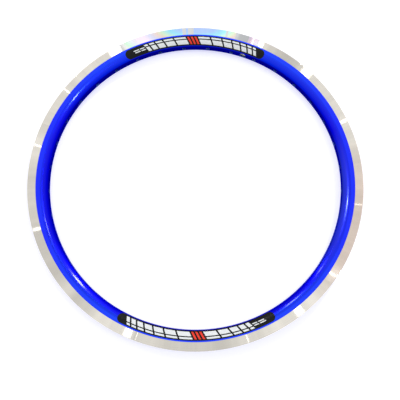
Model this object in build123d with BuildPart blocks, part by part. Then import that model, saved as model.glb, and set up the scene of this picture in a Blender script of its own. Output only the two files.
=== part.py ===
"""Bicycle rim for a 20-inch wheel: a hollow aluminium hoop, its joint sleeve and two film decals.

The rim lies flat, with its axle line on +Z, its valve hole on +Y and its seam on -Y.
Every section is drawn with the radius from the axle line along X and the height along Y.
"""

import os
from math import asin, degrees, sqrt

from build123d import *

# Wheel size: where the tyre's beads sit, and the width over the two brake tracks
bead_seat_diameter = 406.0
rim_width = 22.0

# Flanges, with a hooked lip that leans over the tyre channel
flange_height = 6.5
flange_thickness = 1.7
lip_height = 2.2
lip_lean = 0.6
lip_chamfer = 0.5

# Tyre bed: a shelf beside each flange, and a well between the shelves
shelf_width = 2.6
well_slope_width = 2.0
well_depth = 2.6
tyre_bed_thickness = 1.5

# Sides: a flat brake track, then a flank with one crease, down to the spoke bed
track_height = 10.5
upper_flank_height = 7.5
upper_flank_inset = 1.7
lower_flank_height = 6.6
flank_thickness = 1.5
spoke_bed_width = 9.2
spoke_bed_thickness = 2.6
spoke_bed_corner_radius = 2.5

# Holes
spoke_count = 36
spoke_hole_diameter = 4.5
access_hole_diameter = 8.0
valve_hole_diameter = 8.5
valve_azimuth = 90.0

# Seam, where the ends of the rolled hoop meet, and the sleeve that bridges it in the chamber
seam_gap = 0.1
sleeve_length = 24.0
sleeve_wall = 2.0
sleeve_clearance = 0.1

# Film decals on the upper flank, stuck on with a thin layer of adhesive
decal_thickness = 0.15
decal_adhesive = 0.05
decal_width = 11.4
decal_track_gap = 1.6
decal_span = 57.2  # degrees, over the round ends
decal_turn = 20.4  # degrees, from the valve hole and from the seam

# Radii and half heights that follow from these sizes
bead_radius = bead_seat_diameter / 2
tip_radius = bead_radius + flange_height
well_floor_radius = bead_radius - well_depth
track_edge_radius = tip_radius - track_height
crease_radius = track_edge_radius - upper_flank_height
inner_radius = crease_radius - lower_flank_height
half_width = rim_width / 2
flange_face = half_width - flange_thickness
lip_face = flange_face - lip_lean
shelf_edge = flange_face - shelf_width
well_edge = shelf_edge - well_slope_width

# Underside of the tyre bed, floor of the chamber, and where the chamber is half as deep
bed_underside = bead_radius - tyre_bed_thickness
well_underside = well_floor_radius - tyre_bed_thickness
chamber_floor = inner_radius + spoke_bed_thickness
chamber_middle = (chamber_floor + well_underside) / 2

# Directions around the axle line
seam_azimuth = valve_azimuth + 180.0
first_spoke_azimuth = valve_azimuth + 180.0 / spoke_count


def crown_point(radius, height):
    """Where a bed of this radius, crowned about the rim's centre, reaches a height."""
    return (sqrt(radius**2 - height**2), height)


def crown_arc(radius, height):
    """A bed crowned about the rim's centre, from minus this height to this height."""
    half_angle = degrees(asin(height / radius))
    return CenterArc((0, 0), radius, -half_angle, 2 * half_angle)


def arc_angle(length, radius):
    """The angle in degrees that an arc of this length spans at this radius."""
    return degrees(length / radius)


def section_plane(azimuth):
    """The plane through the axle line at an azimuth, with X outwards and Y up."""
    return Plane.XZ.rotated((0, 0, azimuth))


def radial_cylinder(diameter, mode=Mode.ADD):
    """A cylinder from the rim's centre along +X, past the flange tips."""
    from_centre = (Align.CENTER, Align.CENTER, Align.MIN)
    return Cylinder(diameter / 2, 2 * tip_radius, rotation=(0, 90, 0), align=from_centre, mode=mode)


# Corners that several outlines share
track_edge = (track_edge_radius, half_width)
crease = (crease_radius, half_width - upper_flank_inset)
spoke_bed_corner = crown_point(inner_radius, spoke_bed_width / 2)

# Chamber: the hollow inside the flanks, trimmed to the tyre bed and the spoke bed
with BuildSketch() as chamber:
    with BuildLine():
        Polyline(
            (bead_radius, 0),
            (bead_radius, half_width),
            crease,
            spoke_bed_corner,
            (inner_radius, 0),
        )
        mirror(about=Plane.XZ)
    make_face()
    offset(amount=-flank_thickness, kind=Kind.INTERSECTION)
    with BuildLine():
        crown_arc(well_underside, well_edge)
        side = Polyline(
            crown_point(well_underside, well_edge),
            (bed_underside, shelf_edge),
            (bed_underside, half_width),
            crown_point(chamber_floor, half_width),
        )
        mirror(side, about=Plane.XZ)
        crown_arc(chamber_floor, half_width)
    make_face(mode=Mode.INTERSECT)

# Nipple drill: stepped, to open the tyre bed wider than the spoke bed
with BuildPart() as nipple_drill:
    radial_cylinder(access_hole_diameter)
    Cylinder(chamber_middle, rim_width, mode=Mode.SUBTRACT)
    radial_cylinder(spoke_hole_diameter)
    Cylinder(inner_radius - spoke_bed_thickness, rim_width, mode=Mode.SUBTRACT)

os.makedirs("parts", exist_ok=True)

# Rim hoop: one hollow extrusion rolled into a ring, drilled for the spokes and the valve
with BuildPart() as rim_hoop:
    hoop_gap = arc_angle(seam_gap, bead_radius)
    with BuildSketch(section_plane(seam_azimuth + hoop_gap / 2)) as section:
        with BuildLine():
            crown_arc(well_floor_radius, well_edge)
            skin = Polyline(
                crown_point(well_floor_radius, well_edge),
                (bead_radius, shelf_edge),
                (bead_radius, flange_face),
                (tip_radius - lip_height, flange_face),
                (tip_radius - lip_chamfer, lip_face),
                (tip_radius, lip_face + lip_chamfer),
                (tip_radius, half_width - lip_chamfer),
                (tip_radius - lip_chamfer, half_width),
                track_edge,
                crease,
                spoke_bed_corner,
            )
            mirror(skin, about=Plane.XZ)
            crown_arc(inner_radius, spoke_bed_width / 2)
        make_face()
        fillet(section.vertices().group_by(Axis.X)[0], spoke_bed_corner_radius)
        add(chamber.sketch, mode=Mode.SUBTRACT)
    revolve(axis=Axis.Z, revolution_arc=360 - hoop_gap)
    with PolarLocations(0, spoke_count, first_spoke_azimuth):
        add(nipple_drill.part, mode=Mode.SUBTRACT)
    with PolarLocations(0, 1, valve_azimuth):
        radial_cylinder(valve_hole_diameter, mode=Mode.SUBTRACT)
rim_hoop.part.label = "rim_hoop"
export_step(rim_hoop.part, "parts/rim_hoop.step")

# Joint sleeve: a short tube of the chamber's own outline, which slides into both ends of the hoop
with BuildPart() as joint_sleeve:
    sleeve_arc = arc_angle(sleeve_length, bead_radius)
    with BuildSketch(section_plane(seam_azimuth - sleeve_arc / 2)):
        add(chamber.sketch)
        offset(amount=-sleeve_clearance, kind=Kind.INTERSECTION)
        offset(amount=-sleeve_wall, kind=Kind.INTERSECTION, mode=Mode.SUBTRACT)
    revolve(axis=Axis.Z, revolution_arc=sleeve_arc)
joint_sleeve.part.label = "joint_sleeve"
export_step(joint_sleeve.part, "parts/joint_sleeve.step")

# Decals: thin films that follow the crease of the flank, each cut to a curved pill
decal_radius = track_edge_radius - decal_track_gap - decal_width / 2
decal_round_end = arc_angle(decal_width / 2, decal_radius)
decal_azimuths = {
    "decal_valve_side": valve_azimuth + decal_turn,
    "decal_seam_side": seam_azimuth + decal_turn,
}
for label, azimuth in decal_azimuths.items():
    with BuildPart() as decal:
        first_azimuth = azimuth - decal_span / 2
        with BuildSketch(section_plane(first_azimuth)):
            with BuildLine():
                flank = Polyline(track_edge, crease, spoke_bed_corner, mode=Mode.PRIVATE)
                offset(
                    flank,
                    amount=decal_adhesive,
                    kind=Kind.INTERSECTION,
                    side=Side.RIGHT,
                    closed=False,
                )
                offset(amount=decal_thickness, kind=Kind.INTERSECTION, side=Side.RIGHT)
            make_face()
        revolve(axis=Axis.Z, revolution_arc=decal_span)
        with BuildSketch():
            with BuildLine(mode=Mode.PRIVATE) as middle:
                CenterArc(
                    (0, 0),
                    decal_radius,
                    first_azimuth + decal_round_end,
                    decal_span - 2 * decal_round_end,
                )
            SlotArc(middle.wire(), decal_width)
        extrude(amount=rim_width, mode=Mode.INTERSECT)
    decal.part.label = label
    export_step(decal.part, f"parts/{label}.step")
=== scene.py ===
"""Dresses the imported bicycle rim: a hoop with rounded edges, its film decals and a plain studio."""

from math import asin, atan2, cos, pi, radians, sin, sqrt, tan

import bmesh
import bpy
import numpy as np
from bpy.props import FloatProperty, FloatVectorProperty, PointerProperty
from mathutils import Matrix, Vector


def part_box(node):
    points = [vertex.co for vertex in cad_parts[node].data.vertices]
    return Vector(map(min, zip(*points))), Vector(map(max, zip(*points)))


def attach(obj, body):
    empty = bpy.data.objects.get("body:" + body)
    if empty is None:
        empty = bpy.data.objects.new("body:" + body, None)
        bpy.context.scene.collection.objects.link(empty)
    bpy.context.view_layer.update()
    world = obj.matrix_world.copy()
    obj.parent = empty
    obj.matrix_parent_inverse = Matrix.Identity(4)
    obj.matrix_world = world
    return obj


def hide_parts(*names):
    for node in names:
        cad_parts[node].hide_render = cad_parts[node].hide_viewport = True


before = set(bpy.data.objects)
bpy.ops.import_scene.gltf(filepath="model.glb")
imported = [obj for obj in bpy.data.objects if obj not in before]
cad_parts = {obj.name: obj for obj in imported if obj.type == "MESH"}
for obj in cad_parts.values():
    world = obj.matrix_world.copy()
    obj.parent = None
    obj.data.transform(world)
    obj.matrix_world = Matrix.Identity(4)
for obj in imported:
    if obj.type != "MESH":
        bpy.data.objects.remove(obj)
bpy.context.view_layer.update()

bl_info = {
    "name": "Bicycle Rim",
    "version": (1, 0, 0),
    "blender": (4, 5, 0),
    "location": "3D View > Sidebar > Rim",
    "description": "Builds an anodised bicycle rim with turned brake tracks and film decals",
    "category": "Object",
}

MM = 0.001

# Reach of the hoop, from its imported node
hoop_low, hoop_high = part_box("rim_hoop")
TIP = min(hoop_high.x, hoop_high.y, -hoop_low.x, -hoop_low.y)
HALF_WIDTH = min(hoop_high.z, -hoop_low.z)

# Section of the hoop, the same as in its solid: radii from the axle line, heights from the middle
BEAD_SEAT = 203.0 * MM
WELL_FLOOR = 200.4 * MM
TRACK_EDGE = 199.0 * MM
TRACK_MIDDLE = (TIP + TRACK_EDGE) / 2
CREASE = (191.5 * MM, 9.3 * MM)
SPOKE_BED = 184.9 * MM
SPOKE_BED_EDGE = 4.6 * MM
FLANGE_FACE = 9.3 * MM
LIP_FACE = 8.7 * MM
LIP_HEIGHT = 2.2 * MM
LIP_CHAMFER = 0.5 * MM
SHELF_EDGE = 6.7 * MM
WELL_EDGE = 4.7 * MM
CHAMBER_FLOOR = 187.5 * MM
CHAMBER_ROOF = 198.9 * MM
CHAMBER_SHELF = 201.5 * MM
CHAMBER_SIDES = ((201.5 * MM, 9.3 * MM), (192.1 * MM, 7.85 * MM), (187.45 * MM, 4.75 * MM))

# Half heights of the drilled bands
WELL_BAND = 4.55 * MM
ROOF_BAND = 4.5 * MM
FLOOR_BAND = 4.6 * MM

# Holes
SPOKE_COUNT = 36
SPOKE_HOLE = 2.25 * MM
ACCESS_HOLE = 4.0 * MM
VALVE_HOLE = 4.25 * MM
SEAM_AZIMUTH = radians(270)
SEAM_GAP = 0.1 * MM

# How finely the hoop is divided
HOLE_COLUMNS = 10
PLAIN_COLUMNS = 4
EDGE_STEPS = 2
BEAD_STEPS = 4
CREASE_STEPS = 12
NOSE_STEPS = 6
HOLE_RINGS = (0.0, 0.15, 0.38, 0.68, 1.0)
WELD = 0.002 * MM
SHARP_ANGLE = radians(40)

# Finishes of the hoop, in the order of its material slots
ANODISED, TURNED, BARE, DRILLED_PAINTED_LIGHT = range(4)

# Decals: the same design twice, half a turn apart
DECAL_RADIUS = 191.7 * MM
DECAL_HALF_WIDTH = 5.7 * MM
DECAL_HALF_LENGTH = radians(28.6) * DECAL_RADIUS
DECAL_AZIMUTHS = {"valve_side": radians(110.4), "seam_side": radians(290.4)}
FILM_UNDERSIDE = 0.05 * MM
FILM_TOP = 0.2 * MM
INK_TOP = 0.25 * MM
FILM_ROUGHNESS = 0.22
INK_ROUGHNESS = 0.3

# How finely the decals are divided, in degrees round their ends
FILM_COLUMNS = 121
FILM_ROWS = 25
END_STEP = 6
INK_STEP_ACROSS = 0.5 * MM
INK_STEP_ALONG = 1.5 * MM
INK_POINTS = 3

# How far to both sides the slope under a decal is measured, and how much its ends are blunted
SLOPE_SPAN = 0.3 * MM
BLUNT_END = 0.02 * MM

# Print of a decal: its inks in the order of the material slots, where its bars start, how far they reach
# across, where the white ones are split, the widths in millimetres of each run of bars, and the ends and the
# reach in millimetres of the small bars
WHITE, RED = range(2)
PRINT_START = -84.0 * MM
BAR_REACH = 4.2 * MM
BAR_SPLIT = (0.8 * MM, 2.1 * MM)
BAR_RUNS = (
    ((4, 5.5, 7, 9, 11, 13, 15), WHITE),
    ((2.6, 2.6, 2.6), RED),
    ((15, 12, 9, 6.5, 4.5), WHITE),
)
SMALL_BARS = ((68, 74), (75.5, 83))
SMALL_BAR_REACH = ((-1.7, -0.6), (0.6, 1.7))

# Sizes of the patterns in the materials
DIE_LINES = 0.6 * MM
ORANGE_PEEL = 2.5 * MM
DYE_CLOUDS = 40 * MM
GROOVES = 0.9 * MM
CHATTER = 40.84 * MM
CUT_STREAKS = 0.5 * MM
VINYL_PEBBLE = 1.2 * MM

# Values of a noise between which its effect grows
NOISE_SPAN = {1: 0.3, 2: 0.7}
CHATTER_SPAN = {1: 0.38, 2: 0.62}

# Radii where the skin's painted shade ends, where the painted sheen on its flanks starts and where their
# glaze starts and is full, and half the width of the blend at the crease
SKIN_TOP = TRACK_EDGE + 1 * MM
FLANK_START = 187.5 * MM
GLAZE = (187 * MM, 189.5 * MM)
CREASE_BLEND = 1.5 * MM

# Arcs of the skin and the tracks that differ a little: azimuth, and how far from it they start and are full.
# The painted sheen on the skin has two arcs, about the middle of the rainbow and opposite it
PAINTED_SHEEN_REACH = (radians(67), radians(15))
# The arc of the painted reflection below the crease
PAINTED_REFLECTION_ARC = (radians(10), radians(29.5), radians(7))
WARM_ARC = (radians(3), radians(31), radians(14))

# Azimuth and reach in degrees of each darker arc of the turned tracks, which is painted shade, and its
# level. The core, where it is darkest, is this share of the reach
PAINTED_SHADE_CORE = 1 / 3
PAINTED_SHADE_ARCS = ((73, 10, 0.8), (205, 14, 0.84), (229.5, 14, 0.72), (249, 7, 0.74), (290, 26, 0.8))

# Painted rainbow on the upper track, for the colours that its grooves split the light into: its middle, its
# reach to both sides, the share of it from which it fades, how far its colours bend across the track and
# where it ends on one side
RAINBOW_AZIMUTH = radians(109.5)
RAINBOW_REACH = radians(34)
RAINBOW_FADE = 0.86
RAINBOW_BEND = radians(9)
RAINBOW_END = radians(-25.5)

# Its painted colours from the middle outwards, and its breaks from one side to the other
PAINTED_RAINBOW = (
    (0.0, "#aec3f2"),
    (0.2, "#abc6f2"),
    (0.31, "#9de2f5"),
    (0.4, "#d6edcc"),
    (0.45, "#e8d3c8"),
    (0.53, "#ced3eb"),
    (0.63, "#f6deee"),
    (0.74, "#e4e8f0"),
    (0.8, "#ccf0d4"),
    (0.84, "#ececea"),
    (1.0, "#f6f4ee"),
)
PAINTED_RAINBOW_BREAKS = (
    (0.0, 1.0),
    (0.21, 0.0),
    (0.283, 1.0),
    (0.325, 0.0),
    (0.338, 1.0),
    (0.518, 0.0),
    (0.548, 1.0),
    (0.562, 0.0),
    (0.581, 1.0),
)

# Azimuth in degrees of each radial glint on the upper track, and the width in millimetres of its lamp and
# its share of the strips' brightness
GLINTS = (
    (10, 3, 1),
    (41.5, 12, 1),
    (64.5, 42, 1),
    (84.7, 19, 1),
    (87, 36, 0.2),
    (88, 4, 1),
    (141.6, 48, 1),
    (165.25, 5, 1),
    (188.4, 6, 1),
    (219, 12, 1),
    (267.5, 30, 1),
    (307.25, 4, 1),
    (326.6, 32, 1),
    (343.2, 50, 0.12),
    (343.6, 9, 1),
)

# Azimuth and tilt in degrees of each streak along the crease, and the width, length and distance in
# millimetres and the brightness of its lamp
STREAKS = (
    (10, 27, 60, 360, 3000, 70),
    (165.25, 26.5, 90, 380, 3000, 70),
    (219, 24, 24, 70, 800, 24),
    (242.5, 31, 170, 700, 3000, 74),
    (327, 27, 160, 450, 3000, 22),
    (342.1, 33, 140, 450, 3000, 14),
)

# Azimuth and tilt in degrees, and width and length in millimetres, of both wide lamps
SOFTBOX = (116, 0, 440, 200)
OVERHEAD = (110, 12.8, 400, 200)

# How far the strips and the wide lamps stand from the rim and how long the strips are, in millimetres
LAMP_DISTANCE = 1200
STRIP_LENGTH = 24

# Rise and grey of the sky, from the horizon up
SKY = ((0.0, 0.55), (0.35, 0.76), (0.75, 0.84), (0.97, 0.98))

# Half the length of the floor in metres, and how much its paper is lifted to white
FLOOR_REACH = 3.0
FLOOR_LIFT = 0.58

# Where the camera stands, what it looks at, and the azimuth that points up in its picture
CAMERA_PLACE = Vector((65.4, -170.3, 623.9)) * MM
CAMERA_TARGET = Vector((14.5, -23.5, 0)) * MM
CAMERA_UP = radians(110)


def linear(hex_colour):
    """An sRGB hex colour as linear red, green and blue."""
    shares = [int(hex_colour[i : i + 2], 16) / 255 for i in (1, 3, 5)]
    return [s / 12.92 if s <= 0.04045 else ((s + 0.055) / 1.055) ** 2.4 for s in shares]


def size(name, description, millimetres):
    """A length that the user can change."""
    return FloatProperty(name=name, description=description, default=millimetres * MM, unit="LENGTH")


def colour(name, description, hex_colour):
    """A colour that the user can change."""
    return FloatVectorProperty(
        name=name,
        description=description,
        default=linear(hex_colour),
        subtype="COLOR",
        min=0.0,
        max=1.0,
    )


class RimHoopSettings(bpy.types.PropertyGroup):
    """Rounds and colours of the hoop."""

    edge_round: size("Edge round", "Radius of the small edges of the section", 0.3)
    bead_round: size("Bead round", "Radius inside the flanges, where the tyre's beads sit", 0.8)
    crease_round: size("Crease round", "Radius of the crease along each flank", 20.0)
    nose_round: size("Nose round", "Radius of the corners of the spoke bed", 2.5)
    hole_break: size("Hole edge", "Width of the broken edge of each hole", 0.12)
    seam_break: size("Seam edge", "Width of the broken edge on each side of the seam", 0.25)
    anodised: colour("Anodised", "Colour of the dyed skin beside the brake tracks", "#0d28f4")
    # Deep, nose and bed are painted shade: darker skin below the crease, navy round the nose, on the spoke
    # bed and in a line at the track's edge
    anodised_painted_shade: colour("Anodised deep", "Colour of the dyed skin below the crease", "#0708f2")
    anodised_nose_painted_shade: colour("Anodised nose", "Colour of the dyed skin round the nose", "#0303e0")
    anodised_bed_painted_shade: colour("Anodised bed", "Colour of the dyed skin on the spoke bed", "#04047a")
    # A painted sheen, added near the valve and the seam for brighter sky that the flanks mirror
    anodised_painted_sheen: colour("Anodised thin", "What thinner dye adds near the valve and the seam", "#003038")
    # A painted reflection, added below the crease on one side
    anodised_painted_reflection: colour("Anodised haze", "What a haze below the crease adds on one side", "#2a3818")
    turned: colour("Turned", "Colour of the turned brake tracks", "#f0ebe1")
    turned_warm: colour("Turned warm", "Colour that the turned brake tracks drift to", "#e2d2c6")
    # Grey is the track's colour between the colours of the painted rainbow
    turned_grey: colour("Turned grey", "Colour of the turned brake tracks between the colours", "#ccced0")
    # The light blue of the holes' walls is painted light, for the light that their edges catch
    dyed: colour("Dyed", "Colour of the dyed walls of the holes", "#6c96f0")
    bare: colour("Bare", "Colour of sawn and extruded aluminium", "#d5d6d8")


class RimDecalSettings(bpy.types.PropertyGroup):
    """Colours and print of the film decals."""

    film: colour("Film", "Colour of the film", "#0b0d0e")
    white_ink: colour("White ink", "Colour of the wide bars", "#dfe3e4")
    red_ink: colour("Red ink", "Colour of the narrow bars", "#e23a2a")
    slant: FloatProperty(
        name="Slant",
        description="Lean of the bars along the rim",
        default=radians(28),
        subtype="ANGLE",
    )
    bar_gap: size("Bar gap", "Gap between two bars", 2.2)


class RimStageSettings(bpy.types.PropertyGroup):
    """Floor, light and camera."""

    floor: colour("Floor", "Colour of the floor", "#c8c8c8")
    sky: FloatProperty(name="Sky", description="Strength of the soft light overhead", default=1.0)
    strip: FloatProperty(name="Strips", description="Brightness of the strip lamps", default=3.0)
    lamp: FloatProperty(name="Lamps", description="Share of the brightness of the small lamps", default=1.0)
    overhead: FloatProperty(name="Overhead", description="Brightness of the lamp overhead", default=0.3)
    softbox: FloatProperty(name="Softbox", description="Brightness of the wide lamp", default=0.35)
    lens: FloatProperty(name="Lens", description="Focal length", default=46.08, unit="CAMERA")


def polar(radius, azimuth, height):
    """A point at this radius and azimuth about the axle line."""
    return Vector((radius * cos(azimuth), radius * sin(azimuth), height))


def crown(radius, height):
    """Where a bed of this radius, crowned about the rim's centre, reaches a height."""
    return sqrt(radius**2 - height**2), height


def rounded(corners):
    """The arcs of an outline, one for each inner corner given as radius, height, round and steps."""
    arcs = []
    for before, here, after in zip(corners, corners[1:], corners[2:]):
        corner = Vector(here[:2])
        back = (Vector(before[:2]) - corner).normalized()
        ahead = (Vector(after[:2]) - corner).normalized()
        half = back.angle(ahead) / 2
        centre = corner + (back + ahead).normalized() * here[2] / sin(half)
        start = corner + back * here[2] / tan(half) - centre
        end = corner + ahead * here[2] / tan(half) - centre
        turn = start.angle(end)
        shares = [i / here[3] for i in range(here[3] + 1)]
        arcs.append(
            [centre + (start * sin((1 - s) * turn) + end * sin(s * turn)) / sin(turn) for s in shares]
        )
    return arcs


def skin_arcs(hoop):
    """Arcs of the upper half of the skin, from the tyre well over the flange to the spoke bed."""
    edge = hoop.edge_round
    return rounded(
        [
            crown(WELL_FLOOR, WELL_BAND),
            (*crown(WELL_FLOOR, WELL_EDGE), edge, EDGE_STEPS),
            (BEAD_SEAT, SHELF_EDGE, edge, EDGE_STEPS),
            (BEAD_SEAT, FLANGE_FACE, hoop.bead_round, BEAD_STEPS),
            (TIP - LIP_HEIGHT, FLANGE_FACE, hoop.bead_round, EDGE_STEPS),
            (TIP - LIP_CHAMFER, LIP_FACE, edge, EDGE_STEPS),
            (TIP, LIP_FACE + LIP_CHAMFER, edge, EDGE_STEPS),
            (TIP, HALF_WIDTH - LIP_CHAMFER, edge, EDGE_STEPS),
            (TIP - LIP_CHAMFER, HALF_WIDTH, edge, EDGE_STEPS),
            (TRACK_EDGE, HALF_WIDTH, edge, EDGE_STEPS),
            (*CREASE, hoop.crease_round, CREASE_STEPS),
            (*crown(SPOKE_BED, SPOKE_BED_EDGE), hoop.nose_round, NOSE_STEPS),
            (SPOKE_BED, 0),
        ]
    )


def hoop_columns(groove):
    """Azimuths from the seam round to the seam, and each hole: its first column, its middle and its kind."""
    half_pitch = pi / SPOKE_COUNT
    first_end, last_end = SEAM_AZIMUTH, SEAM_AZIMUTH + 2 * pi
    gap, inset = SEAM_GAP / 2 / BEAD_SEAT, (SEAM_GAP / 2 + groove) / BEAD_SEAT
    columns, holes = [first_end + gap], []
    for block in range(2 * SPOKE_COUNT + 1):
        middle = first_end + block * half_pitch
        first = max(middle - half_pitch / 2, first_end + inset)
        last = min(middle + half_pitch / 2, last_end - inset)
        drilled = block % 2 == 1 or block == SPOKE_COUNT
        if drilled:
            holes.append((len(columns), middle, block == SPOKE_COUNT))
        count = HOLE_COLUMNS if drilled else PLAIN_COLUMNS
        columns += [first + (last - first) * i / count for i in range(count)]
    return [*columns, last_end - inset, last_end - gap], holes


def add_face(solid, corners, finish):
    """A smooth face with a finish."""
    face = solid.faces.new(corners)
    face.smooth = True
    face.material_index = finish


def bridge(solid, first_ring, second_ring, finish):
    """Closes the band between two rings of as many points."""
    for k in range(len(first_ring)):
        add_face(solid, (first_ring[k - 1], first_ring[k], second_ring[k], second_ring[k - 1]), finish)


def lathe(solid, outline, columns, finish_at):
    """Turns an outline about the axle line, above and below the middle."""
    for side in (1, -1):
        rows = [[solid.verts.new(polar(p[0], a, side * p[1])) for a in columns] for p in outline]
        for low, high, p, q in zip(rows, rows[1:], outline, outline[1:]):
            finish = finish_at((p[0] + q[0]) / 2, (p[1] + q[1]) / 2)
            for i in range(len(columns) - 1):
                add_face(solid, (low[i], low[i + 1], high[i + 1], high[i]), finish)


def drilled_band(solid, radius_at, heights, columns, holes, radii, margin, finish):
    """A bed with a round hole in each drilled block, and plain rows in the margins beside the spoke holes.

    Returns the edges of the holes.
    """
    grid = [[solid.verts.new(polar(radius_at(h), a, h)) for a in columns] for h in heights]
    edges, drilled = [], set()
    for first, middle, is_valve in holes:
        last, low = first + HOLE_COLUMNS, 0 if is_valve else margin
        high = len(heights) - 1 - low
        drilled |= {(j, i) for j in range(low, high) for i in range(first, last)}
        border = [(columns[i], heights[low]) for i in range(first, last)]
        border += [(columns[last], h) for h in heights[low:high]]
        border += [(columns[i], heights[high]) for i in range(last, first, -1)]
        border += [(columns[first], h) for h in heights[high:low:-1]]
        rings = []
        for share in HOLE_RINGS:
            ring = []
            for k, (azimuth, height) in enumerate(border):
                angle = (k - HOLE_COLUMNS / 2) * 2 * pi / len(border) - pi / 2
                radius = radii[is_valve]
                side = share * radius_at(height) * sin(azimuth - middle) + (1 - share) * radius * cos(angle)
                rise = share * height + (1 - share) * radius * sin(angle)
                turn = asin(side / radius_at(rise))
                ring.append(solid.verts.new(polar(radius_at(rise), middle + turn, rise)))
            rings.append(ring)
        for inner, outer in zip(rings, rings[1:]):
            bridge(solid, inner, outer, finish)
        edges.append(rings[0])
    for j, (low, high) in enumerate(zip(grid, grid[1:])):
        for i in range(len(columns) - 1):
            if (j, i) not in drilled:
                add_face(solid, (low[i], low[i + 1], high[i + 1], high[i]), finish)
    loose = [v for v in solid.verts if not v.link_faces]
    bmesh.ops.delete(solid, geom=loose, context="VERTS")
    return edges


def drill_wall(solid, mouth, middle, radius, hole_break, far_edge):
    """Wall of a hole, from its mouth over a broken edge to its far edge in the chamber."""
    axis = polar(1, middle, 0)
    inward = 1 if far_edge[0].co.dot(axis) > mouth[0].co.dot(axis) else -1
    shoulder = []
    for vertex in mouth:
        along = vertex.co.dot(axis)
        across = (vertex.co - axis * along) * radius / (radius + hole_break)
        shoulder.append(solid.verts.new(axis * (along + inward * hole_break) + across))
    bridge(solid, mouth, shoulder, DRILLED_PAINTED_LIGHT)
    edges = []
    for ring in (shoulder, far_edge):
        edges += [solid.edges.get((ring[k - 1], ring[k])) for k in range(len(ring))]
    for face in bmesh.ops.bridge_loops(solid, edges=edges)["faces"]:
        face.smooth = True
        face.material_index = DRILLED_PAINTED_LIGHT


def close_seam(solid, columns, groove):
    """Breaks the edges of the hoop's two ends and closes them."""
    for azimuth in (columns[0], columns[-1]):
        across = polar(1, azimuth + pi / 2, 0)
        middle = polar((TIP + SPOKE_BED) / 2, azimuth, 0)
        end = [v for v in solid.verts if abs(v.co.dot(across)) < WELD and v.co.dot(middle) > 0]
        for vertex in end:
            vertex.co = middle + (vertex.co - middle) * (1 - groove / 2 / HALF_WIDTH)
        edges = [e for e in solid.edges if e.is_boundary and set(e.verts) <= set(end)]
        filled = bmesh.ops.triangle_fill(solid, edges=edges, use_beauty=True)
        for face in filled["geom"]:
            if isinstance(face, bmesh.types.BMFace):
                face.material_index = BARE


def new_piece(name, solid, materials, slot, *nodes):
    """Makes a piece of a finished solid. It rides on the rim and stands for these nodes."""
    bmesh.ops.recalc_face_normals(solid, faces=solid.faces)
    mesh = bpy.data.meshes.new(name)
    solid.to_mesh(mesh)
    solid.free()
    for material in materials:
        mesh.materials.append(material)
    mesh.set_sharp_from_angle(angle=SHARP_ANGLE)
    piece = bpy.data.objects.new(name, mesh)
    bpy.context.scene.collection.objects.link(piece)
    weighted = piece.modifiers.new("Weighted normals", "WEIGHTED_NORMAL")
    weighted.keep_sharp = True
    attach(piece, "root")
    if nodes:
        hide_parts(*nodes)


def set_inputs(tree, node, inputs):
    """Sets the inputs of a node. Each is a value to set or a socket to link."""
    for name, value in dict(inputs).items():
        if isinstance(value, bpy.types.NodeSocket):
            tree.links.new(value, node.inputs[name])
        else:
            node.inputs[name].default_value = value


def add_node(tree, kind, inputs=(), stops=(), **settings):
    """Adds a node with its settings, its inputs and its ramp stops."""
    node = tree.nodes.new("ShaderNode" + kind)
    for name, value in settings.items():
        setattr(node.color_ramp if stops else node, name, value)
    set_inputs(tree, node, inputs)
    for i, (position, value) in enumerate(stops):
        # A new ramp has two stops
        element = node.color_ramp.elements[i] if i < 2 else node.color_ramp.elements.new(position)
        element.position = position
        element.color = (*value, 1.0)
    return node


def new_material(name):
    """A material with its node tree and its surface shader."""
    material = bpy.data.materials.new(name)
    material.use_nodes = True
    tree = material.node_tree
    return material, tree, tree.nodes["Principled BSDF"]


def section_place(tree):
    """Sockets of a point's position, its direction and radius from the axle line and its height."""
    place = add_node(tree, "TexCoord").outputs["Object"]
    axes = add_node(tree, "SeparateXYZ", {0: place}).outputs
    flat = add_node(tree, "CombineXYZ", {0: axes[0], 1: axes[1]}).outputs[0]
    bearing = add_node(tree, "VectorMath", {0: flat}, operation="NORMALIZE").outputs[0]
    radius = add_node(tree, "VectorMath", {0: flat}, operation="LENGTH").outputs["Value"]
    return place, bearing, radius, axes[2]


def towards(tree, bearing, azimuth, start, full, low=0.0, high=1.0):
    """A socket that goes from low, this far away from an azimuth, to high where the arc is full."""
    nearness = add_node(tree, "VectorMath", {0: bearing, 1: polar(1, azimuth, 0)}, operation="DOT_PRODUCT")
    reach = {1: cos(start), 2: cos(full), 3: low, 4: high}
    return add_node(tree, "MapRange", {0: nearness.outputs["Value"], **reach}).outputs[0]


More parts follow.
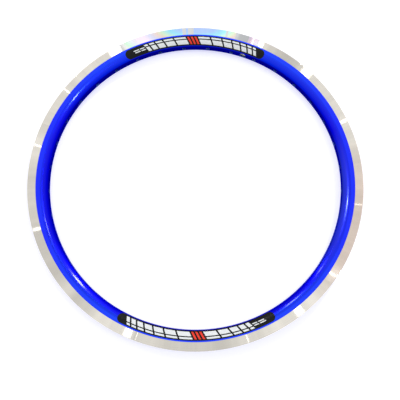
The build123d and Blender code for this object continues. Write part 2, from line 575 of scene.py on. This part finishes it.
def anodised_aluminium(hoop):
    """Extruded aluminium, polished, dyed and sealed."""
    # The dye colours the metal's own reflection, the sealed oxide glazes it, and die lines run round it
    material, tree, shader = new_material("anodised_aluminium_polished")
    place, bearing, radius, height = section_place(tree)
    across = add_node(tree, "CombineXYZ", {0: radius, 1: height}).outputs[0]
    die_lines = add_node(tree, "TexNoise", {"Vector": across, "Scale": 1 / DIE_LINES, "Detail": 3.0})
    peel = add_node(tree, "TexNoise", {"Vector": place, "Scale": 1 / ORANGE_PEEL, "Detail": 2.0})
    cloud = add_node(tree, "TexNoise", {"Vector": place, "Scale": 1 / DYE_CLOUDS, "Detail": 2.0})
    # The ramp paints light and shade by radius: lighter skin above the crease for mirrored sky, darker below
    # it, navy round the nose and on the spoke bed, and a dark line at the track's edge
    depth = add_node(tree, "MapRange", {0: radius, 1: SPOKE_BED, 2: SKIN_TOP})
    shade = add_node(
        tree,
        "ValToRGB",
        {0: depth.outputs[0]},
        stops=(
            (0.0, hoop.anodised_bed_painted_shade),
            (0.055, hoop.anodised_nose_painted_shade),
            (0.19, hoop.anodised_painted_shade),
            (0.36, hoop.anodised_painted_shade),
            (0.6, hoop.anodised),
            (0.89, hoop.anodised),
            (0.93, hoop.anodised_nose_painted_shade),
            (0.96, hoop.anodised),
            (1.0, hoop.anodised),
        ),
    )
    # On the flanks towards the valve, and above the crease towards the seam, a painted sheen for mirrored
    # bright sky makes the skin lighter and greener
    crease_side = {0: radius, 1: CREASE[0] - CREASE_BLEND, 2: CREASE[0] + CREASE_BLEND}
    above = add_node(tree, "MapRange", crease_side)
    valve_end = towards(tree, bearing, RAINBOW_AZIMUTH, *PAINTED_SHEEN_REACH)
    seam_end = towards(tree, bearing, RAINBOW_AZIMUTH + pi, *PAINTED_SHEEN_REACH)
    ends = {0: seam_end, 1: above.outputs[0], 2: valve_end}
    painted_sheen = add_node(tree, "Math", ends, operation="MULTIPLY_ADD")
    flank = add_node(tree, "MapRange", {0: radius, 1: SPOKE_BED, 2: FLANK_START})
    painted_sheen = add_node(tree, "Math", {0: painted_sheen.outputs[0], 1: flank.outputs[0]}, operation="MULTIPLY")
    shade = add_node(
        tree,
        "Mix",
        {0: painted_sheen.outputs[0], 6: shade.outputs[0], 7: (*hoop.anodised_painted_sheen, 1)},
        data_type="RGBA",
        blend_type="ADD",
    )
    # To one side a painted reflection lightens the skin below the crease
    below = add_node(tree, "MapRange", {**crease_side, 3: 1.0, 4: 0.0})
    painted_reflection = towards(tree, bearing, *PAINTED_REFLECTION_ARC)
    painted_reflection = add_node(tree, "Math", {0: painted_reflection, 1: below.outputs[0]}, operation="MULTIPLY")
    shade = add_node(
        tree,
        "Mix",
        {0: painted_reflection.outputs[0], 6: shade.outputs[2], 7: (*hoop.anodised_painted_reflection, 1)},
        data_type="RGBA",
        blend_type="ADD",
    )
    drift = add_node(tree, "MapRange", {0: cloud.outputs[0], **NOISE_SPAN, 3: 0.9, 4: 1.0})
    tint = add_node(
        tree,
        "Mix",
        {0: 1.0, 6: shade.outputs[2], 7: drift.outputs[0]},
        data_type="RGBA",
        blend_type="MULTIPLY",
    )
    gloss = add_node(tree, "MapRange", {0: die_lines.outputs[0], **NOISE_SPAN, 3: 0.12, 4: 0.17})
    relief = add_node(tree, "Math", {0: die_lines.outputs[0], 1: peel.outputs[0]}, operation="ADD")
    bump = add_node(tree, "Bump", {"Strength": 0.05, "Distance": 0.004 * MM, "Height": relief.outputs[0]})
    # The flanks are polished and the nose isn't
    glaze = add_node(tree, "MapRange", {0: radius, 1: GLAZE[0], 2: GLAZE[1], 3: 0.0, 4: 0.3})
    surface = {
        "Base Color": tint.outputs[2],
        "Roughness": gloss.outputs[0],
        "Normal": bump.outputs[0],
        "Coat Weight": glaze.outputs[0],
        "Coat Roughness": 0.08,
        "Metallic": 1.0,
        # Light that skims the oxide crosses more dye, so the edges stay blue
        "Specular Tint": (*hoop.anodised, 1),
    }
    set_inputs(tree, shader, surface)
    return material


def turned_aluminium(hoop):
    """Aluminium turned on a lathe."""
    # Fine grooves round the axle line stretch each lamp into a radial glint, and its faint colours are
    # painted in
    material, tree, shader = new_material("aluminium_turned")
    _, bearing, radius, height = section_place(tree)
    axes = add_node(tree, "SeparateXYZ", {0: bearing}).outputs
    azimuth = add_node(tree, "Math", {0: axes[1], 1: axes[0]}, operation="ARCTAN2").outputs[0]
    groove_place = add_node(tree, "CombineXYZ", {0: radius, 1: 0.0}).outputs[0]
    # Real grooves are about 0.1 mm apart; these are wider, to show
    grooves = add_node(
        tree,
        "TexNoise",
        {"Vector": groove_place, "Scale": 1 / GROOVES, "Detail": 4.0, "Roughness": 0.7},
    )
    around = add_node(tree, "Math", {0: azimuth, 1: TRACK_MIDDLE}, operation="MULTIPLY")
    around = add_node(tree, "CombineXYZ", {0: around.outputs[0]}).outputs[0]
    rough = {"Detail": 5.0, "Roughness": 0.55}
    chatter = add_node(tree, "TexNoise", {"Vector": around, "Scale": 1 / CHATTER, **rough})
    level = add_node(tree, "MapRange", {0: grooves.outputs[0], **NOISE_SPAN, 3: 0.9, 4: 1.0})
    waver = add_node(tree, "MapRange", {0: chatter.outputs[0], **CHATTER_SPAN, 3: 0.88, 4: 1.06})
    level = add_node(tree, "Math", {0: level.outputs[0], 1: waver.outputs[0]}, operation="MULTIPLY")
    # Some arcs are painted darker, as painted shade for darker reflections in the turned metal, and one is a
    # little warmer
    for middle, reach, shaded_level in PAINTED_SHADE_ARCS:
        core = PAINTED_SHADE_CORE * reach
        painted_shade = towards(tree, bearing, radians(middle), radians(reach), radians(core), 1.0, shaded_level)
        level = add_node(tree, "Math", {0: level.outputs[0], 1: painted_shade}, operation="MULTIPLY")
    warmth = towards(tree, bearing, *WARM_ARC)
    drift = add_node(
        tree,
        "Mix",
        {0: warmth, 6: (*hoop.turned, 1), 7: (*hoop.turned_warm, 1)},
        data_type="RGBA",
    )
    # On the upper track the colours that the grooves split the light into are painted, to both sides of one
    # azimuth
    away_side = add_node(tree, "Math", {0: azimuth, 1: RAINBOW_AZIMUTH}, operation="SUBTRACT")
    # Inwards across the track the colours bend together
    bend = add_node(tree, "MapRange", {0: radius, 1: TIP, 2: TRACK_EDGE, 4: RAINBOW_BEND})
    away = add_node(tree, "CombineXYZ", {0: away_side.outputs[0], 1: bend.outputs[0]})
    away = add_node(tree, "VectorMath", {0: away.outputs[0]}, operation="LENGTH")
    order = add_node(tree, "MapRange", {0: away.outputs["Value"], 1: 0.0, 2: RAINBOW_REACH})
    painted_spectrum = add_node(tree, "ValToRGB", {0: order.outputs[0]}, stops=[(s, linear(c)) for s, c in PAINTED_RAINBOW])
    swing = add_node(tree, "MapRange", {0: away_side.outputs[0], 1: -RAINBOW_REACH, 2: RAINBOW_REACH})
    bands = add_node(
        tree,
        "ValToRGB",
        {0: swing.outputs[0]},
        stops=[(s, (c, c, c)) for s, c in PAINTED_RAINBOW_BREAKS],
        interpolation="CONSTANT",
    )
    near = add_node(tree, "MapRange", {0: order.outputs[0], 1: RAINBOW_FADE, 2: 1.0, 3: 1.0, 4: 0.0})
    ended = add_node(tree, "Math", {0: away_side.outputs[0], 1: RAINBOW_END}, operation="GREATER_THAN")
    near = add_node(tree, "Math", {0: near.outputs[0], 1: ended.outputs[0]}, operation="MULTIPLY")
    upper = add_node(tree, "Math", {0: height, 1: 0.0}, operation="GREATER_THAN")
    near = add_node(tree, "Math", {0: near.outputs[0], 1: upper.outputs[0]}, operation="MULTIPLY")
    grey = add_node(
        tree,
        "Mix",
        {0: near.outputs[0], 6: drift.outputs[2], 7: (*hoop.turned_grey, 1)},
        data_type="RGBA",
    )
    split = add_node(tree, "Math", {0: bands.outputs[0], 1: near.outputs[0]}, operation="MULTIPLY")
    shade = add_node(
        tree,
        "Mix",
        {0: split.outputs[0], 6: grey.outputs[2], 7: painted_spectrum.outputs[0]},
        data_type="RGBA",
    )
    tint = add_node(
        tree,
        "Mix",
        {0: 1.0, 6: shade.outputs[2], 7: level.outputs[0]},
        data_type="RGBA",
        blend_type="MULTIPLY",
    )
    gloss = add_node(tree, "MapRange", {0: chatter.outputs[0], **NOISE_SPAN, 3: 0.045, 4: 0.06})
    bump = add_node(tree, "Bump", {"Strength": 0.05, "Distance": 0.01 * MM, "Height": grooves.outputs[0]})
    tangent = add_node(tree, "Tangent", direction_type="RADIAL", axis="Z")
    surface = {
        "Base Color": tint.outputs[2],
        "Roughness": gloss.outputs[0],
        "Normal": bump.outputs[0],
        "Tangent": tangent.outputs[0],
        "Metallic": 1.0,
        "Anisotropic": 1.0,
        "Anisotropic Rotation": 0.25,
    }
    set_inputs(tree, shader, surface)
    return material


def cut_aluminium(name, base):
    """Aluminium as drilled, sawn or extruded."""
    # Dull and a little streaked, so that the walls of the holes catch the light
    material, tree, shader = new_material(name)
    place = add_node(tree, "TexCoord").outputs["Object"]
    streaks = add_node(tree, "TexNoise", {"Vector": place, "Scale": 1 / CUT_STREAKS, "Detail": 3.0})
    level = add_node(tree, "MapRange", {0: streaks.outputs[0], **NOISE_SPAN, 3: 0.8, 4: 1.0})
    tint = add_node(
        tree,
        "Mix",
        {0: 1.0, 6: (*base, 1), 7: level.outputs[0]},
        data_type="RGBA",
        blend_type="MULTIPLY",
    )
    gloss = add_node(tree, "MapRange", {0: streaks.outputs[0], **NOISE_SPAN, 3: 0.3, 4: 0.45})
    bump = add_node(tree, "Bump", {"Strength": 0.3, "Distance": 0.02 * MM, "Height": streaks.outputs[0]})
    surface = {
        "Base Color": tint.outputs[2],
        "Roughness": gloss.outputs[0],
        "Normal": bump.outputs[0],
        "Metallic": 1.0,
    }
    set_inputs(tree, shader, surface)
    return material


def printed_vinyl(name, base, roughness):
    """Cast vinyl film or the ink on it, both laminated."""
    # Even and glossy, with a slight pebble from the laminate and a little dust
    material, tree, shader = new_material(name)
    place = add_node(tree, "TexCoord").outputs["Object"]
    pebble = add_node(tree, "TexNoise", {"Vector": place, "Scale": 1 / VINYL_PEBBLE, "Detail": 3.0})
    level = add_node(tree, "MapRange", {0: pebble.outputs[0], **NOISE_SPAN, 3: 0.92, 4: 1.0})
    tint = add_node(
        tree,
        "Mix",
        {0: 1.0, 6: (*base, 1), 7: level.outputs[0]},
        data_type="RGBA",
        blend_type="MULTIPLY",
    )
    roughness_span = {3: roughness - 0.05, 4: roughness + 0.05}
    gloss = add_node(tree, "MapRange", {0: pebble.outputs[0], **NOISE_SPAN, **roughness_span})
    bump = add_node(tree, "Bump", {"Strength": 0.15, "Distance": 0.01 * MM, "Height": pebble.outputs[0]})
    surface = {
        "Base Color": tint.outputs[2],
        "Roughness": gloss.outputs[0],
        "Normal": bump.outputs[0],
        "IOR": 1.4,
        "Specular IOR Level": 0.25,
    }
    set_inputs(tree, shader, surface)
    return material


class RIM_OT_build_hoop(bpy.types.Operator):
    """Build the hoop with its rounded section, its drilled beds and its seam"""

    bl_idname = "rim.build_hoop"
    bl_label = "Build Hoop"

    def skin_finish(self, radius, height):
        """The tracks and the lips beside them are turned after the skin is anodised."""
        return TURNED if radius > TRACK_EDGE and height > HALF_WIDTH - LIP_CHAMFER else ANODISED

    def execute(self, context):
        hoop = context.scene.rim_hoop
        columns, holes = hoop_columns(hoop.seam_break)
        *arcs, nose = skin_arcs(hoop)
        skin = [crown(WELL_FLOOR, WELL_BAND), *(p for arc in arcs for p in arc), nose[0]]
        chamber = [
            crown(CHAMBER_ROOF, ROOF_BAND),
            crown(CHAMBER_ROOF, WELL_EDGE),
            (CHAMBER_SHELF, SHELF_EDGE),
            *CHAMBER_SIDES,
            crown(CHAMBER_FLOOR, FLOOR_BAND),
        ]
        bed_heights = [-p.y for p in nose] + [0.0] + [p.y for p in reversed(nose)]
        bed_radii = [p.x for p in nose] + [SPOKE_BED] + [p.x for p in reversed(nose)]
        solid = bmesh.new()
        lathe(solid, skin, columns, self.skin_finish)
        lathe(solid, chamber, columns, lambda radius, height: BARE)
        mouth = hoop.hole_break
        beds = (
            (lambda h: float(np.interp(h, bed_heights, bed_radii)), nose[-1].y, SPOKE_HOLE, mouth, ANODISED),
            (lambda h: crown(CHAMBER_FLOOR, h)[0], FLOOR_BAND, SPOKE_HOLE, 0, BARE),
            (lambda h: crown(WELL_FLOOR, h)[0], WELL_BAND, ACCESS_HOLE, mouth, ANODISED),
            (lambda h: crown(CHAMBER_ROOF, h)[0], ROOF_BAND, ACCESS_HOLE, 0, BARE),
        )
        edges = []
        for i, (radius_at, reach, hole, extra, finish) in enumerate(beds):
            heights = [-reach, -reach / 2, 0.0, reach / 2, reach]
            if i == 0:
                heights = [-p.y for p in nose[:-1]] + heights + [p.y for p in nose[-2::-1]]
            margin = NOSE_STEPS if i == 0 else 0
            radii = (hole + extra, VALVE_HOLE + extra)
            edges.append(drilled_band(solid, radius_at, heights, columns, holes, radii, margin, finish))
        for (_, middle, is_valve), bed, floor, well, roof in zip(holes, *edges):
            spoke = VALVE_HOLE if is_valve else SPOKE_HOLE
            access = VALVE_HOLE if is_valve else ACCESS_HOLE
            drill_wall(solid, bed, middle, spoke, mouth, floor)
            drill_wall(solid, well, middle, access, mouth, roof)
        bmesh.ops.remove_doubles(solid, verts=solid.verts, dist=WELD)
        close_seam(solid, columns, hoop.seam_break)
        finishes = [
            anodised_aluminium(hoop),
            turned_aluminium(hoop),
            cut_aluminium("aluminium_extruded", hoop.bare),
            # The holes' walls get a painted highlight in their light blue
            cut_aluminium("anodised_aluminium_drilled_painted_light", hoop.dyed),
        ]
        new_piece("hoop", solid, finishes, "anodised_aluminium", "rim_hoop")
        return {"FINISHED"}


class RIM_OT_finish_sleeve(bpy.types.Operator):
    """Give the joint sleeve inside the chamber its bare metal"""

    bl_idname = "rim.finish_sleeve"
    bl_label = "Finish Joint Sleeve"

    def execute(self, context):
        bare = bpy.data.materials.get("aluminium_extruded")
        if bare is None:
            raise RuntimeError("The hoop is built before its joint sleeve is finished")
        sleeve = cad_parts["joint_sleeve"]
        sleeve.data.materials.clear()
        sleeve.data.materials.append(bare)
        return {"FINISHED"}


def film_place(hoop):
    """A function that places a point of a decal on the flank, by its azimuth, length, offset and lift."""
    flank = [p for arc in skin_arcs(hoop)[-3:] for p in arc][::-1]
    radii, heights = [p.x for p in flank], [p.y for p in flank]

    def point(azimuth, along, offset, lift):
        radius = DECAL_RADIUS + offset
        low, high = np.interp((radius - SLOPE_SPAN, radius + SLOPE_SPAN), radii, heights)
        up = Vector((low - high, 2 * SLOPE_SPAN)).normalized() * lift
        height = float(np.interp(radius, radii, heights))
        return polar(radius + up.x, azimuth + along / DECAL_RADIUS, height + up.y)

    return point


def close_sheet(solid, top, bottom, finish):
    """Closes a thin sheet between two grids of as many points."""
    for grid in (top, bottom):
        for low, high in zip(grid, grid[1:]):
            for i in range(len(low) - 1):
                add_face(solid, (low[i], low[i + 1], high[i + 1], high[i]), finish)
    borders = [
        g[0][:-1] + [row[-1] for row in g[:-1]] + g[-1][:0:-1] + [row[0] for row in g[:0:-1]]
        for g in (top, bottom)
    ]
    bridge(solid, *borders, finish)


class RIM_OT_build_decals(bpy.types.Operator):
    """Build both film decals and the bars printed on them"""

    bl_idname = "rim.build_decals"
    bl_label = "Build Decals"

    def bars(self, decal):
        """Bars of the print: start, end, lowest and highest offset, and ink."""
        start = PRINT_START
        for widths, ink in BAR_RUNS:
            for width in widths:
                end = start + width * MM
                if ink == RED:
                    yield start, end, -BAR_REACH, BAR_REACH, ink
                else:
                    yield start, end, -BAR_REACH, BAR_SPLIT[0], ink
                    yield start, end, BAR_SPLIT[1], BAR_REACH, ink
                start = end + decal.bar_gap
        for first, last in SMALL_BARS:
            for low, high in SMALL_BAR_REACH:
                yield first * MM, last * MM, low * MM, high * MM, WHITE

    def execute(self, context):
        decal = context.scene.rim_decal
        place = film_place(context.scene.rim_hoop)
        film = printed_vinyl("vinyl_film_gloss", decal.film, FILM_ROUGHNESS)
        inks = [
            printed_vinyl("vinyl_ink_white", decal.white_ink, INK_ROUGHNESS),
            printed_vinyl("vinyl_ink_red", decal.red_ink, INK_ROUGHNESS),
        ]
        straight = DECAL_HALF_LENGTH - DECAL_HALF_WIDTH
        ends = [straight + DECAL_HALF_WIDTH * sin(radians(a)) for a in range(0, 91, END_STEP)]
        ends[-1] -= BLUNT_END
        middle = np.linspace(-straight, straight, FILM_COLUMNS)[1:-1]
        lengths = [*(-x for x in reversed(ends)), *middle, *ends]
        for side, azimuth in DECAL_AZIMUTHS.items():
            solid = bmesh.new()
            sheets = []
            for lift in (FILM_TOP, FILM_UNDERSIDE):
                sheet = []
                for x in lengths:
                    past = max(abs(x) - straight, 0)
                    reach = sqrt(DECAL_HALF_WIDTH**2 - past**2)
                    offsets = np.linspace(-reach, reach, FILM_ROWS)
                    sheet.append([solid.verts.new(place(azimuth, x, y, lift)) for y in offsets])
                sheets.append(sheet)
            close_sheet(solid, *sheets, 0)
            new_piece(f"decal_film_{side}", solid, [film], "vinyl_film", f"decal_{side}")
            solid = bmesh.new()
            for start, end, low, high, ink in self.bars(decal):
                across = np.linspace(low, high, max(INK_POINTS, round((high - low) / INK_STEP_ACROSS)))
                along = np.linspace(start, end, max(INK_POINTS, round((end - start) / INK_STEP_ALONG)))
                sheets = [
                    [
                        [solid.verts.new(place(azimuth, x + y * tan(decal.slant), y, lift)) for x in along]
                        for y in across
                    ]
                    for lift in (INK_TOP, FILM_TOP)
                ]
                close_sheet(solid, *sheets, ink)
            new_piece(f"decal_print_{side}", solid, inks, "vinyl_film")
        return {"FINISHED"}


class RIM_OT_build_stage(bpy.types.Operator):
    """Build the floor, the sky, the camera and the lamps"""

    bl_idname = "rim.build_stage"
    bl_label = "Build Stage"

    def floor(self, stage):
        """A plain floor of pale paper under the rim."""
        mesh = bpy.data.meshes.new("floor")
        sides = ((-1, -1), (1, -1), (1, 1), (-1, 1))
        corners = [(x * FLOOR_REACH, y * FLOOR_REACH, -HALF_WIDTH) for x, y in sides]
        mesh.from_pydata(corners, [], [(0, 1, 2, 3)])
        material, tree, shader = new_material("floor_paper")
        # Seen directly or in a reflection the paper is lifted to white, and it keeps the shadow
        path = add_node(tree, "LightPath").outputs
        seen = path["Is Camera Ray"]
        for ray in ("Is Glossy Ray", "Is Transmission Ray"):
            seen = add_node(tree, "Math", {0: seen, 1: path[ray]}, operation="MAXIMUM").outputs[0]
        lift = add_node(tree, "Math", {0: seen, 1: FLOOR_LIFT}, operation="MULTIPLY")
        surface = {
            "Base Color": (*stage.floor, 1),
            "Roughness": 0.9,
            "Emission Color": (1, 1, 1, 1),
            "Emission Strength": lift.outputs[0],
        }
        set_inputs(tree, shader, surface)
        mesh.materials.append(material)
        floor = bpy.data.objects.new("floor", mesh)
        bpy.context.scene.collection.objects.link(floor)

    def sky(self, stage, world):
        """Soft light from all sides, strongest overhead, and white where the camera sees it."""
        world.use_nodes = True
        tree = world.node_tree
        tree.nodes.clear()
        direction = add_node(tree, "TexCoord").outputs["Generated"]
        rise = add_node(tree, "SeparateXYZ", {0: direction}).outputs[2]
        ramp = add_node(tree, "ValToRGB", {0: rise}, stops=[(share, (grey,) * 3) for share, grey in SKY])
        soft = add_node(tree, "Background", {0: ramp.outputs[0], 1: stage.sky})
        white = add_node(tree, "Background", {0: (1, 1, 1, 1), 1: 1.0})
        seen = add_node(tree, "LightPath").outputs["Is Camera Ray"]
        mixed = add_node(tree, "MixShader", {0: seen, 1: soft.outputs[0], 2: white.outputs[0]})
        add_node(tree, "OutputWorld", {0: mixed.outputs[0]})

    def camera(self, stage):
        """The camera, at the photograph's viewing angle."""
        ahead = (CAMERA_TARGET - CAMERA_PLACE).normalized()
        right = ahead.cross(polar(1, CAMERA_UP, 0)).normalized()
        camera = bpy.data.objects.new("camera", bpy.data.cameras.new("camera"))
        camera.data.lens = stage.lens
        camera.data.clip_start = 0.01
        turn = Matrix((right, right.cross(ahead), -ahead)).transposed()
        camera.matrix_world = Matrix.Translation(CAMERA_PLACE) @ turn.to_4x4()
        bpy.context.scene.collection.objects.link(camera)
        bpy.context.scene.camera = camera

    def lamp(self, name, spot, tilt, width, length, distance, brightness):
        """A lamp that a spot on the rim, tilted towards the axle line, mirrors to the camera."""
        azimuth = atan2(spot.y, spot.x)
        sight = (CAMERA_PLACE - spot).normalized()
        mirrored = -sight.reflect(polar(-sin(tilt), azimuth, cos(tilt)))
        along = polar(1, azimuth + pi / 2, 0)
        along = (along - mirrored * along.dot(mirrored)).normalized()
        light = bpy.data.lights.new(name, "AREA")
        light.shape = "ELLIPSE"
        light.size = width * MM
        light.size_y = length * MM
        # Power that gives an evenly bright ellipse this brightness
        light.energy = brightness * pi * (pi / 4 * light.size * light.size_y)
        lamp = bpy.data.objects.new(name, light)
        turn = Matrix((along, mirrored.cross(along), mirrored)).transposed()
        lamp.matrix_world = Matrix.Translation(spot + mirrored * distance * MM) @ turn.to_4x4()
        lamp.visible_camera = False
        bpy.context.scene.collection.objects.link(lamp)

    def lamps(self, stage):
        """Strips and a softbox for the upper track, and small lamps and an overhead one for the crease."""
        track = TRACK_MIDDLE, HALF_WIDTH
        rows = [
            (f"strip_{azimuth}", track, azimuth, 0, width, STRIP_LENGTH, LAMP_DISTANCE, share * stage.strip)
            for azimuth, width, share in GLINTS
        ]
        rows += [
            (f"lamp_{azimuth}", CREASE, azimuth, *shape, brightness * stage.lamp)
            for azimuth, *shape, brightness in STREAKS
        ]
        rows += [
            ("softbox", track, *SOFTBOX, LAMP_DISTANCE, stage.softbox),
            ("overhead", CREASE, *OVERHEAD, LAMP_DISTANCE, stage.overhead),
        ]
        for name, (radius, height), azimuth, tilt, *shape_and_light in rows:
            spot = polar(radius, radians(azimuth), height)
            self.lamp(name, spot, radians(tilt), *shape_and_light)

    def execute(self, context):
        stage = context.scene.rim_stage
        self.floor(stage)
        context.scene.world = context.scene.world or bpy.data.worlds.new("studio")
        self.sky(stage, context.scene.world)
        self.camera(stage)
        self.lamps(stage)
        context.scene.view_settings.view_transform = "Standard"
        return {"FINISHED"}


class RIM_PT_panel(bpy.types.Panel):
    """Lists the rim's settings and the steps that build it"""

    bl_idname = "RIM_PT_panel"
    bl_label = "Bicycle Rim"
    bl_space_type = "VIEW_3D"
    bl_region_type = "UI"
    bl_category = "Rim"

    def draw(self, context):
        for settings in (context.scene.rim_hoop, context.scene.rim_decal, context.scene.rim_stage):
            for name in settings.__annotations__:
                self.layout.prop(settings, name)
        for operator in OPERATORS:
            self.layout.operator(operator.bl_idname)


SETTINGS = {
    "rim_hoop": RimHoopSettings,
    "rim_decal": RimDecalSettings,
    "rim_stage": RimStageSettings,
}
OPERATORS = (RIM_OT_build_hoop, RIM_OT_finish_sleeve, RIM_OT_build_decals, RIM_OT_build_stage)


def register():
    for cls in (*SETTINGS.values(), *OPERATORS, RIM_PT_panel):
        bpy.utils.register_class(cls)
    for name, settings in SETTINGS.items():
        setattr(bpy.types.Scene, name, PointerProperty(type=settings))


def unregister():
    for name in SETTINGS:
        delattr(bpy.types.Scene, name)
    for cls in (RIM_PT_panel, *reversed(OPERATORS), *SETTINGS.values()):
        bpy.utils.unregister_class(cls)


def main():
    register()
    bpy.ops.rim.build_hoop()
    bpy.ops.rim.finish_sleeve()
    bpy.ops.rim.build_decals()
    bpy.ops.rim.build_stage()
    bpy.context.view_layer.update()


if __name__ == "__main__":
    main()
